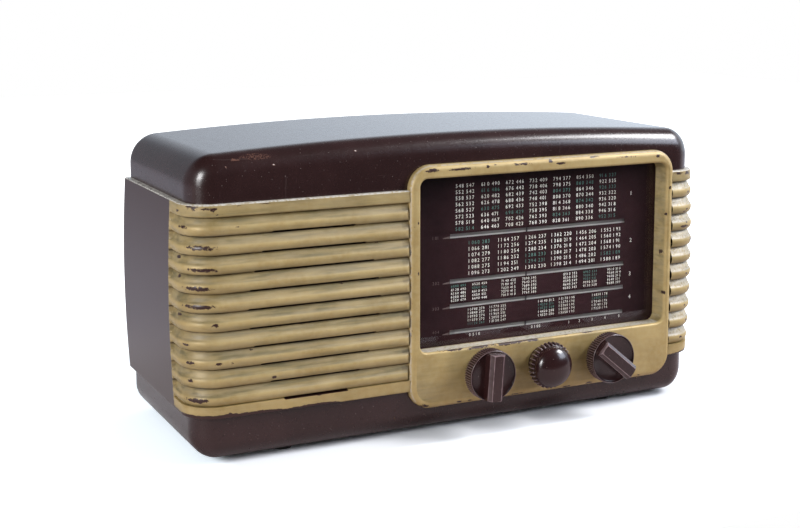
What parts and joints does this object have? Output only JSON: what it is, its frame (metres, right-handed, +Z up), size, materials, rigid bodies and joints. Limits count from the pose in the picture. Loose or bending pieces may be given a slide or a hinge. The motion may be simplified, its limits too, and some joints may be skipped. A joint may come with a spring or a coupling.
{
  "type": "table radio receiver",
  "caption": "Mains table radio in a dark moulded case with a gold ribbed band, a wide printed tuning dial, turned knobs and a full valve chassis behind.",
  "frame": {"origin": "centre of the bounding box at the level that the rubber feet stand on", "axes": "+X to the right seen from the front, +Y from the dial to the back, +Z up"},
  "size_m": [0.496, 0.2136, 0.2575],
  "materials": {
    "case_moulding": "dark red-brown thermoset, polished, worn gold paint on the ribbed band",
    "frame_paint": "moulded plastic with aged gold paint, chipped at its edges",
    "knob_moulding": "dark red-brown thermoset, satin from handling",
    "printed_glass": "glass back-printed dark brown, with clear bars and plain numbers",
    "screw_steel": "turned steel, lightly oxidised",
    "shaft_steel": "ground steel",
    "speaker_cloth": "woven cotton cloth, brown",
    "board": "thin plywood, unfinished",
    "back_board": "pressed hardboard, brown",
    "soft_rubber": "black rubber, dull",
    "cream_paint": "sheet steel painted cream, flat",
    "bulb_glass": "clear blown glass",
    "brass_parts": "turned brass, dull",
    "needle_paint": "dark painted wire on a brass slider",
    "cord_thread": "braided dial cord, waxed",
    "pale_plastic": "cream moulded plastic",
    "light_metal": "sheet aluminium, clean",
    "chassis_plate": "plated sheet steel, dull",
    "brown_laminate": "paper laminate, brown",
    "dark_moulding": "dark brown moulded plastic",
    "core_paint": "stacked steel plates, varnished",
    "coil_paper": "waxed paper over wire",
    "valve_glass": "blown glass with a silvered top",
    "can_metal": "spun aluminium, satin",
    "former_tube": "waxed tube with wire",
    "basket_paint": "pressed steel, grey paint",
    "magnet_metal": "cast magnet, grey",
    "cone_paper": "black felted paper",
    "soft_paper": "soft corrugated paper",
    "spider_cloth": "stiffened cotton disc",
    "coil_wire": "copper wire on a paper tube",
    "felt": "wool felt, dark"
  },
  "bodies": {
    "case": {"cabinet": "case_moulding", "dial_frame": "frame_paint", "frame_screws": "screw_steel", "grille_cloth": "speaker_cloth", "speaker_baffle": "board", "board_screws": "screw_steel", "rear_cover": "back_board", "rear_cover_screws": "screw_steel", "feet": "soft_rubber", "chassis_bolts": "screw_steel", "dial_glass": "printed_glass", "glass_clips": "screw_steel", "dial_plate": "cream_paint", "dial_lamps": "bulb_glass", "lamp_holders": "brass_parts", "pointer_rail": "shaft_steel", "dial_cords": "cord_thread", "spindle_bush": "brass_parts", "gang_frame": "light_metal", "gang_stators": "light_metal", "volume_control": "brown_laminate", "band_switch": "brown_laminate", "control_nuts": "brass_parts", "knob_felts": "felt", "chassis": "chassis_plate", "mains_transformer_core": "core_paint", "mains_transformer_coil": "coil_paper", "output_transformer_core": "core_paint", "output_transformer_coil": "coil_paper", "valve_sockets": "brown_laminate", "valve_bases": "dark_moulding", "small_valves": "valve_glass", "output_valve": "valve_glass", "rectifier_valve": "valve_glass", "intermediate_cans": "can_metal", "reservoir_capacitor": "can_metal", "coil_formers": "former_tube", "tag_board": "brown_laminate", "plug_sockets": "brown_laminate", "voltage_selector": "dark_moulding", "cord_grommet": "soft_rubber", "speaker_frame": "basket_paint", "speaker_magnet": "magnet_metal", "cone_surround": "soft_paper", "coil_spider": "spider_cloth"},
    "tuning_gang": {"gang_rotor": "light_metal", "tuning_drum": "pale_plastic"},
    "tuning_shaft": {"tuning_spindle": "shaft_steel", "tuning_knob": "knob_moulding"},
    "needle": {"pointer": "needle_paint"},
    "pulley_left": {"left_pulley": "brass_parts"},
    "pulley_right": {"right_pulley": "brass_parts"},
    "volume": {"volume_shaft": "shaft_steel", "volume_knob": "knob_moulding"},
    "band": {"band_shaft": "shaft_steel", "band_knob": "knob_moulding"},
    "cone": {"speaker_cone": "cone_paper", "voice_coil": "coil_wire", "dust_cap": "cone_paper"},
    "selector": {"voltage_plug": "pale_plastic"}
  },
  "joints": [
    {"name": "gang_turn", "type": "hinge", "parent": "case", "child": "tuning_gang", "pos_m": [0.095, -0.0082, 0.1185], "axis": [0, 1, 0], "range_deg": [-81, 99]},
    {"name": "tuning_turn", "type": "hinge", "parent": "case", "child": "tuning_shaft", "pos_m": [0.0735, -0.0882, 0.053], "axis": [0, 1, 0], "range_deg": [-1056, 1290]},
    {"name": "needle_slide", "type": "slide", "parent": "case", "child": "needle", "axis": [1, 0, 0], "range_m": [-0.0835, 0.102]},
    {"name": "left_pulley_turn", "type": "hinge", "parent": "case", "child": "pulley_left", "pos_m": [-0.036, -0.0387, 0.2255], "axis": [0, 1, 0], "range_deg": [-634, 774]},
    {"name": "right_pulley_turn", "type": "hinge", "parent": "case", "child": "pulley_right", "pos_m": [0.1923, -0.0387, 0.2255], "axis": [0, 1, 0], "range_deg": [-634, 774]},
    {"name": "volume_turn", "type": "hinge", "parent": "case", "child": "volume", "pos_m": [0.0125, -0.0882, 0.053], "axis": [0, 1, 0], "range_deg": [-150, 130]},
    {"name": "band_select", "type": "hinge", "parent": "case", "child": "band", "pos_m": [0.1345, -0.0882, 0.053], "axis": [0, 1, 0], "range_deg": [-60, 60]},
    {"name": "cone_slide", "type": "slide", "parent": "case", "child": "cone", "axis": [0, 1, 0], "range_m": [-0.001, 0.001], "stiffness_N_per_m": 400, "deforming": ["cone_surround", "coil_spider"]},
    {"name": "voltage_select", "type": "hinge", "parent": "case", "child": "selector", "pos_m": [0.04, 0.0968, 0.0495], "axis": [0, 1, 0], "range_deg": [-72, 72]}
  ],
  "couplings": [
    {"joint": "tuning_turn", "follows": "gang_turn", "ratio": 13},
    {"joint": "needle_slide", "follows": "gang_turn", "m_per_rad": 0.0585},
    {"joint": "left_pulley_turn", "follows": "gang_turn", "ratio": 7.8},
    {"joint": "right_pulley_turn", "follows": "gang_turn", "ratio": 7.8}
  ]
}
